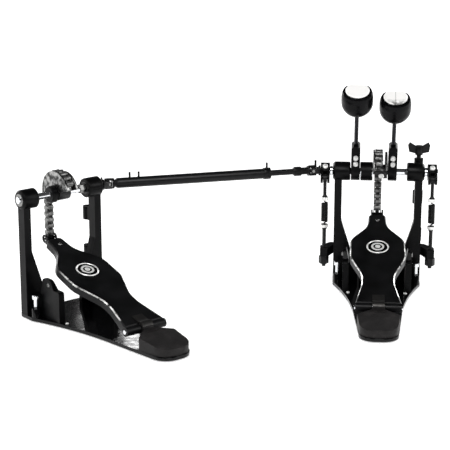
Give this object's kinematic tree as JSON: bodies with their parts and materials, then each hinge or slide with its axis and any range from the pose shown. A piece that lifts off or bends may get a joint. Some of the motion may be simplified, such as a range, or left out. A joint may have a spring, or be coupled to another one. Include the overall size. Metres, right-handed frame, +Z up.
{
  "type": "double bass drum pedal",
  "caption": "Double bass drum pedal: main pedal with paired beaters and hoop clamp, slave pedal at an angle, and a telescopic universal-joint drive shaft between them",
  "frame": {"origin": "on the floor below the middle of the main pedal's axle, on the underside of its front rubber pad", "axes": "+X from the slave pedal to the main pedal along the main axle, +Y from the player to the drum, +Z up"},
  "size_m": [0.6241, 0.4385, 0.3293],
  "materials": {
    "satin_black_casting": "satin black powder coat on cast aluminium",
    "matte_black_heel": "matte black powder coat",
    "gloss_black_plate": "gloss black paint on steel plate",
    "black_oxide_steel": "black finished steel",
    "chrome_steel": "chrome plated steel",
    "nickel_chain": "nickel plated roller chain",
    "polished_cam": "polished cast aluminium",
    "bearing_steel": "ground bearing steel",
    "rubber_pad": "black rubber",
    "black_beater": "gloss black moulded plastic",
    "white_cap": "white moulded plastic"
  },
  "bodies": {
    "main_frame": {"main_base_plate": "gloss_black_plate", "main_rubber_pads": "rubber_pad", "main_left_post": "satin_black_casting", "main_right_post": "satin_black_casting", "main_bearings": "bearing_steel", "main_pins_and_spurs": "chrome_steel", "main_heel_plate": "matte_black_heel", "spring_brackets": "satin_black_casting", "spring_tension_rods": "chrome_steel", "left_spring": "black_oxide_steel", "right_spring": "black_oxide_steel"},
    "main_footboard": {"main_footboard": "satin_black_casting", "main_toe_clevis": "chrome_steel"},
    "main_axle": {"main_axle": "chrome_steel", "main_cam": "polished_cam", "main_chain_wrap": "nickel_chain", "primary_hub": "satin_black_casting", "primary_hub_bolts": "chrome_steel", "right_rocker": "satin_black_casting"},
    "primary_beater": {"primary_beater_rod": "chrome_steel", "primary_beater_head": "black_beater", "primary_beater_cap": "white_cap"},
    "main_link_upper": {"main_chain_link_upper": "nickel_chain"},
    "main_link_lower": {"main_chain_link_lower": "nickel_chain"},
    "main_drop": {"main_chain_drop": "nickel_chain"},
    "right_hanger": {"right_spring_hanger": "chrome_steel"},
    "right_nut": {"right_tension_nut": "black_oxide_steel"},
    "left_nut": {"left_tension_nut": "black_oxide_steel"},
    "secondary_shaft": {"secondary_shaft": "chrome_steel", "secondary_hub": "satin_black_casting", "secondary_hub_bolts": "chrome_steel", "left_rocker": "satin_black_casting"},
    "secondary_beater": {"secondary_beater_rod": "chrome_steel", "secondary_beater_head": "black_beater", "secondary_beater_cap": "white_cap"},
    "left_hanger": {"left_spring_hanger": "chrome_steel"},
    "clamp_screw": {"clamp_screw": "chrome_steel"},
    "wing_head": {"wing_head": "satin_black_casting"},
    "clamp_jaw": {"hoop_clamp_jaw": "satin_black_casting", "hoop_clamp_pad": "rubber_pad"},
    "slave_frame": {"slave_base_plate": "gloss_black_plate", "slave_rubber_pads": "rubber_pad", "slave_left_post": "satin_black_casting", "slave_right_post": "satin_black_casting", "slave_bearings": "bearing_steel", "slave_pins_and_spurs": "chrome_steel", "slave_heel_plate": "matte_black_heel"},
    "slave_footboard": {"slave_footboard": "satin_black_casting", "slave_toe_clevis": "chrome_steel"},
    "slave_axle": {"slave_axle": "chrome_steel", "slave_cam": "polished_cam", "slave_chain_wrap": "nickel_chain"},
    "slave_link_upper": {"slave_chain_link_upper": "nickel_chain"},
    "slave_link_lower": {"slave_chain_link_lower": "nickel_chain"},
    "slave_drop": {"slave_chain_drop": "nickel_chain"},
    "drive_tube": {"drive_tube": "black_oxide_steel", "drive_tube_screws": "chrome_steel"},
    "drive_rod": {"drive_rod": "black_oxide_steel"},
    "main_cross": {"main_joint_cross": "chrome_steel"},
    "slave_cross": {"slave_joint_cross": "chrome_steel"}
  },
  "joints": [
    {"name": "main_axle_turn", "type": "hinge", "parent": "main_frame", "child": "main_axle", "pos_m": [0, 0, 0.182], "axis": [-1, 0, 0], "range_deg": [0, 36], "stiffness_Nm_per_rad": 1, "springref_deg": -17.19},
    {"name": "secondary_shaft_turn", "type": "hinge", "parent": "main_frame", "child": "secondary_shaft", "pos_m": [0, 0, 0.182], "axis": [-1, 0, 0], "range_deg": [0, 36], "stiffness_Nm_per_rad": 1, "springref_deg": -17.19},
    {"name": "main_footboard_hinge", "type": "hinge", "parent": "main_frame", "child": "main_footboard", "pos_m": [0, -0.206, 0.027], "axis": [-1, 0, 0], "range_deg": [0, 4.79]},
    {"name": "main_chain_upper_turn", "type": "hinge", "parent": "main_axle", "child": "main_link_upper", "pos_m": [0, 0.02463, 0.19989], "axis": [-1, 0, 0], "range_deg": [-11, 0]},
    {"name": "main_chain_lower_turn", "type": "hinge", "parent": "main_link_upper", "child": "main_link_lower", "pos_m": [0, 0.02895, 0.19141], "axis": [-1, 0, 0], "range_deg": [-21, 0]},
    {"name": "main_chain_drop_turn", "type": "hinge", "parent": "main_link_lower", "child": "main_drop", "pos_m": [0, 0.03044, 0.182], "axis": [-1, 0, 0], "range_deg": [-16.5, 0]},
    {"name": "slave_axle_turn", "type": "hinge", "parent": "slave_frame", "child": "slave_axle", "pos_m": [-0.473, -0.17, 0.182], "axis": [-0.7193, -0.6947, 0], "range_deg": [0, 35.77]},
    {"name": "slave_footboard_hinge", "type": "hinge", "parent": "slave_frame", "child": "slave_footboard", "pos_m": [-0.3299, -0.31818, 0.027], "axis": [-0.7193, -0.6947, 0], "range_deg": [0, 4.79]},
    {"name": "slave_chain_upper_turn", "type": "hinge", "parent": "slave_axle", "child": "slave_link_upper", "pos_m": [-0.49011, -0.15228, 0.19989], "axis": [-0.7193, -0.6947, 0], "range_deg": [-11, 0]},
    {"name": "slave_chain_lower_turn", "type": "hinge", "parent": "slave_link_upper", "child": "slave_link_lower", "pos_m": [-0.49311, -0.14917, 0.19141], "axis": [-0.7193, -0.6947, 0], "range_deg": [-21, 0]},
    {"name": "slave_chain_drop_turn", "type": "hinge", "parent": "slave_link_lower", "child": "slave_drop", "pos_m": [-0.49415, -0.1481, 0.182], "axis": [-0.7193, -0.6947, 0], "range_deg": [-16.5, 0]},
    {"name": "drive_rod_turn", "type": "hinge", "parent": "main_frame", "child": "drive_rod", "pos_m": [-0.101, 0, 0.182], "axis": [-0.9422, -0.335, 0], "range_deg": [0, 38.39]},
    {"name": "drive_tube_turn", "type": "hinge", "parent": "slave_frame", "child": "drive_tube", "pos_m": [-0.41114, -0.11026, 0.182], "axis": [-0.9422, -0.335, 0], "range_deg": [0, 38.39]},
    {"name": "main_cross_turn", "type": "hinge", "parent": "secondary_shaft", "child": "main_cross", "pos_m": [-0.101, 0, 0.182], "axis": [0, 1, 0], "range_deg": [-12.16, 0]},
    {"name": "slave_cross_turn", "type": "hinge", "parent": "slave_axle", "child": "slave_cross", "pos_m": [-0.41114, -0.11026, 0.182], "axis": [-0.6947, 0.7193, 0], "range_deg": [0, 15.07]},
    {"name": "right_spring_stretch", "type": "slide", "parent": "main_frame", "child": "right_hanger", "axis": [0, 0, 1], "range_m": [0, 0.01387], "deforming": ["right_spring"]},
    {"name": "left_spring_stretch", "type": "slide", "parent": "main_frame", "child": "left_hanger", "axis": [0, 0, 1], "range_m": [0, 0.01387], "deforming": ["left_spring"]},
    {"name": "primary_beater_height", "type": "slide", "parent": "main_axle", "child": "primary_beater", "axis": [0, -0.454, 0.891], "range_m": [-0.01, 0.02]},
    {"name": "secondary_beater_height", "type": "slide", "parent": "secondary_shaft", "child": "secondary_beater", "axis": [0, -0.454, 0.891], "range_m": [-0.01, 0.02]},
    {"name": "slave_reach", "type": "slide", "parent": "main_frame", "child": "slave_frame", "axis": [-0.9422, -0.335, 0], "range_m": [-0.025, 0.04]},
    {"name": "clamp_screw_travel", "type": "slide", "parent": "main_frame", "child": "clamp_screw", "axis": [0, 0, -1], "range_m": [0, 0.00375]},
    {"name": "wing_turn", "type": "hinge", "parent": "clamp_screw", "child": "wing_head", "pos_m": [0.0625, 0.018, 0.182], "axis": [0, 0, -1], "range_deg": [0, 1101.6]},
    {"name": "hoop_clamp_turn", "type": "hinge", "parent": "main_frame", "child": "clamp_jaw", "pos_m": [0, 0.004, 0.024], "axis": [-1, 0, 0], "range_deg": [0, 21.63]},
    {"name": "right_tension_nut_turn", "type": "hinge", "parent": "main_frame", "child": "right_nut", "pos_m": [0.083, -0.02146, 0.044], "axis": [0, 0, 1], "continuous": true},
    {"name": "left_tension_nut_turn", "type": "hinge", "parent": "main_frame", "child": "left_nut", "pos_m": [-0.083, -0.02146, 0.044], "axis": [0, 0, 1], "continuous": true}
  ],
  "couplings": [
    {"joint": "main_footboard_hinge", "follows": "main_axle_turn", "ratio": 0.12539},
    {"joint": "main_chain_upper_turn", "follows": "main_axle_turn", "ratio": -0.25},
    {"joint": "main_chain_lower_turn", "follows": "main_axle_turn", "ratio": -0.5},
    {"joint": "main_chain_drop_turn", "follows": "main_axle_turn", "ratio": -0.36431},
    {"joint": "slave_axle_turn", "follows": "secondary_shaft_turn", "ratio": 0.9742},
    {"joint": "slave_footboard_hinge", "follows": "secondary_shaft_turn", "ratio": 0.12216},
    {"joint": "slave_chain_upper_turn", "follows": "secondary_shaft_turn", "ratio": -0.24355},
    {"joint": "slave_chain_lower_turn", "follows": "secondary_shaft_turn", "ratio": -0.4871},
    {"joint": "slave_chain_drop_turn", "follows": "secondary_shaft_turn", "ratio": -0.35491},
    {"joint": "drive_rod_turn", "follows": "secondary_shaft_turn", "ratio": 1.0454},
    {"joint": "drive_tube_turn", "follows": "secondary_shaft_turn", "ratio": 1.0454},
    {"joint": "main_cross_turn", "follows": "secondary_shaft_turn", "ratio": -0.32787},
    {"joint": "slave_cross_turn", "follows": "secondary_shaft_turn", "ratio": 0.40632},
    {"joint": "right_spring_stretch", "follows": "main_axle_turn", "m_per_rad": 0.02164},
    {"joint": "left_spring_stretch", "follows": "secondary_shaft_turn", "m_per_rad": 0.02164},
    {"joint": "wing_turn", "follows": "clamp_screw_travel", "rad_per_m": 5026.5},
    {"joint": "hoop_clamp_turn", "follows": "clamp_screw_travel", "rad_per_m": 97.738}
  ]
}
